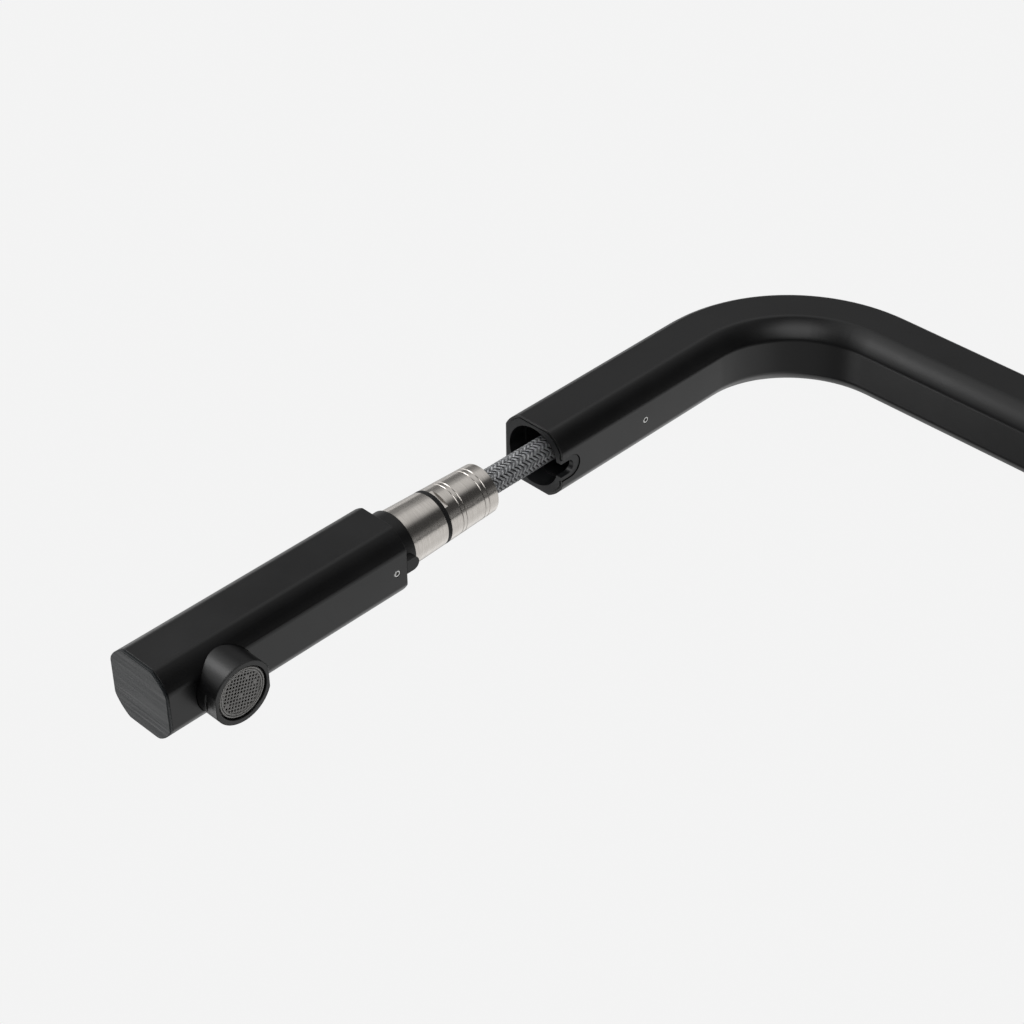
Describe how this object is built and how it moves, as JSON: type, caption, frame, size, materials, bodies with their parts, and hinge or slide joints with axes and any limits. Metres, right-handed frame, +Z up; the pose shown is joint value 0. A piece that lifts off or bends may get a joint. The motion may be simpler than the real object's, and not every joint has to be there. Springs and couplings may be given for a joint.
{
  "type": "pull-out kitchen faucet",
  "caption": "Satin black kitchen faucet: L-shaped swivel spout of flattened round section, side lever and a spray head that pulls out of the arm on a braided hose.",
  "frame": {"origin": "centre of the base plate's underside, on the worktop", "axes": "+Z up along the riser, -Y along the arm towards the spray head, +X towards the lever"},
  "size_m": [0.089, 0.4061, 0.5751],
  "materials": {
    "satin_black": "satin",
    "black_plastic": "satin",
    "grey_plastic": "satin",
    "brushed_steel": "brushed",
    "steel": "satin",
    "brass": "machined",
    "rubber": "matte",
    "braid": "woven",
    "ceramic": "polished"
  },
  "bodies": {
    "base": {"base_body": "satin_black", "base_plate": "satin_black", "base_seal": "rubber", "mounting_shank": "brass", "deck_gasket": "rubber", "mounting_washer": "steel", "mounting_nut": "black_plastic", "outlet_tube": "steel", "hose_base": "braid", "hose_drop": "braid", "hose_coil": "braid", "hose_rise": "braid", "hose_end_connector": "brass", "hose_tie": "black_plastic", "lower_bush": "black_plastic", "upper_bush": "black_plastic", "swivel_washer": "grey_plastic", "swivel_stop_screw": "steel", "cartridge_housing": "grey_plastic", "cartridge_seal": "rubber", "fixed_disc": "ceramic", "cartridge_nut": "brass", "cartridge_cover": "satin_black"},
    "spout_arm": {"spout": "satin_black", "docking_liner": "black_plastic", "arm_set_screw": "steel", "swivel_neck": "brass", "hose_spout": "braid"},
    "spray_head": {"head_shell": "satin_black", "head_end_cap": "satin_black", "dock_collar": "satin_black", "head_set_screw": "steel", "nozzle_housing": "satin_black", "aerator_insert": "grey_plastic", "aerator_screen": "grey_plastic", "aerator_seal": "rubber", "connector_body": "brushed_steel", "connector_ring": "rubber", "check_valve": "grey_plastic", "head_waterway": "grey_plastic", "hose_pull": "braid"},
    "hose_coupling": {"connector_nut": "brushed_steel", "hose_ferrule": "steel"},
    "mixer": {"stem_carrier": "black_plastic", "pivot_pin": "steel"},
    "lever": {"lever_stem": "steel", "lever_hub": "satin_black", "lever_screw": "steel", "lever_plug": "black_plastic", "lever_handle": "satin_black"},
    "disc": {"moving_disc": "ceramic", "disc_driver": "black_plastic"}
  },
  "joints": [
    {"name": "spout_swivel", "type": "hinge", "parent": "base", "child": "spout_arm", "pos_m": [0, 0, 0.11], "axis": [0, 0, 1], "range_deg": [-70, 70]},
    {"name": "head_pull", "type": "slide", "parent": "spout_arm", "child": "spray_head", "axis": [0, -1, 0], "range_m": [-0.0799, 0.06], "deforming": ["hose_pull"]},
    {"name": "hose_turn", "type": "hinge", "parent": "spray_head", "child": "hose_coupling", "pos_m": [0, -0.1753, 0.3], "axis": [0, -1, 0], "continuous": true},
    {"name": "lever_turn", "type": "hinge", "parent": "base", "child": "mixer", "pos_m": [0.0378, 0, 0.06], "axis": [1, 0, 0], "range_deg": [-45, 45]},
    {"name": "lever_lift", "type": "hinge", "parent": "mixer", "child": "lever", "pos_m": [0.0375, 0, 0.06], "axis": [0, 1, 0], "range_deg": [0, 25]},
    {"name": "disc_slide", "type": "slide", "parent": "mixer", "child": "disc", "axis": [0, 0, 1], "range_m": [0, 0.00215]}
  ],
  "couplings": [
    {"joint": "disc_slide", "follows": "lever_lift", "m_per_rad": 0.0049}
  ]
}
